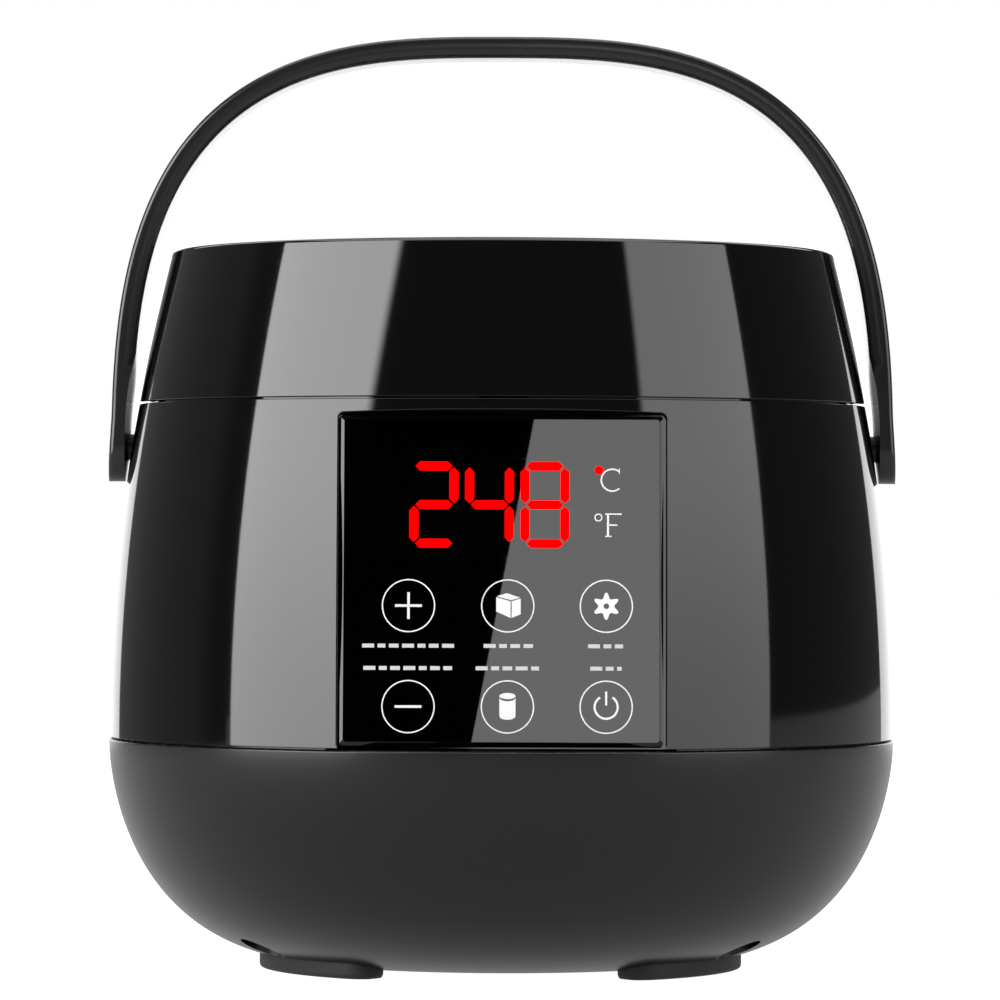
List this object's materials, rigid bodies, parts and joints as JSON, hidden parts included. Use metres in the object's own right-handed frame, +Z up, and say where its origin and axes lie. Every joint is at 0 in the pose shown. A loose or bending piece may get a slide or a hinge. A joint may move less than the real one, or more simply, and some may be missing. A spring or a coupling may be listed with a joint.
{
  "type": "wax warmer pot",
  "caption": "Round electric wax warmer with a bowl base, barrel body, flat touch panel, bail handle, lift-out pot and drop-in lid.",
  "frame": {"origin": "on the floor under the middle of the body", "axes": "+Z up, front with the touch panel towards -Y, handle pivots along X"},
  "size_m": [0.1808, 0.18, 0.2132],
  "materials": {
    "satin_black": "satin black moulded plastic",
    "gloss_black": "polished gloss black plastic",
    "panel_black": "mirror-gloss black touch plate",
    "matte_black": "fine matt black moulded plastic",
    "black_rubber": "matt black rubber",
    "lid_seal": "grey silicone",
    "smoky_clear": "smoky clear plastic",
    "zinc_steel": "zinc plated",
    "aluminised_sheet": "bright sheet",
    "spun_aluminium": "spun, with fine turning lines",
    "brass": "bright",
    "heater_wrap": "mica and tape wrap",
    "glass_fibre": "woven glass fibre",
    "circuit_board": "green solder mask",
    "display_white": "white display housing",
    "relay_blue": "blue case",
    "transformer_tape": "yellow tape",
    "terminal_green": "green case",
    "capacitor_sleeve": "dark sleeve",
    "inlet_plastic": "black moulded plastic",
    "brown_lead": "brown insulation",
    "blue_lead": "blue insulation",
    "braided_lead": "white glass braid",
    "black_lead": "black insulation",
    "grey_ribbon": "grey ribbon"
  },
  "bodies": {
    "housing": {"base_screw_left": "zinc_steel", "base_screw_rear": "zinc_steel", "base_screw_right": "zinc_steel", "base_shell": "satin_black", "body_shell": "gloss_black", "bracket_nut": "zinc_steel", "bucket_bracket": "zinc_steel", "collar": "gloss_black", "control_board": "circuit_board", "control_board_screw_1": "zinc_steel", "control_board_screw_2": "zinc_steel", "control_board_screw_3": "zinc_steel", "control_board_screw_4": "zinc_steel", "display_module": "display_white", "filter_capacitor": "capacitor_sleeve", "foot_left": "black_rubber", "foot_rear": "black_rubber", "foot_right": "black_rubber", "heat_shield": "aluminised_sheet", "heater_band": "heater_wrap", "heater_bucket": "spun_aluminium", "heater_lead_left": "braided_lead", "heater_lead_right": "braided_lead", "inlet_lead_live": "brown_lead", "inlet_lead_neutral": "blue_lead", "inlet_pin_left": "brass", "inlet_pin_right": "brass", "inlet_socket": "inlet_plastic", "insulation_sleeve": "glass_fibre", "power_board": "circuit_board", "power_board_screw_1": "zinc_steel", "power_board_screw_2": "zinc_steel", "power_board_screw_3": "zinc_steel", "power_board_screw_4": "zinc_steel", "relay": "relay_blue", "ribbon_cable": "grey_ribbon", "sensor_lead": "black_lead", "terminal_block": "terminal_green", "thermal_fuse": "glass_fibre", "thermistor": "brass", "touch_panel": "panel_black", "touch_spring_1": "zinc_steel", "touch_spring_2": "zinc_steel", "touch_spring_3": "zinc_steel", "touch_spring_4": "zinc_steel", "touch_spring_5": "zinc_steel", "touch_spring_6": "zinc_steel", "transformer": "transformer_tape"},
    "handle": {"handle_bar": "matte_black", "pivot_pin_left": "zinc_steel", "pivot_pin_right": "zinc_steel", "pivot_washer_left": "zinc_steel", "pivot_washer_right": "zinc_steel"},
    "pot": {"inner_pot": "spun_aluminium"},
    "lid": {"lid_pane": "smoky_clear", "lid_rim": "lid_seal", "lid_knob": "gloss_black", "knob_screw": "zinc_steel"}
  },
  "joints": [
    {"name": "handle_swing", "type": "hinge", "parent": "housing", "child": "handle", "pos_m": [0, 0, 0.119], "axis": [1, 0, 0], "range_deg": [-95, 95]},
    {"name": "pot_lift", "type": "slide", "parent": "housing", "child": "pot", "axis": [0, 0, 1], "range_m": [0, 0.02]},
    {"name": "lid_lift", "type": "slide", "parent": "pot", "child": "lid", "axis": [0, 0, 1], "range_m": [0, 0.02]}
  ]
}
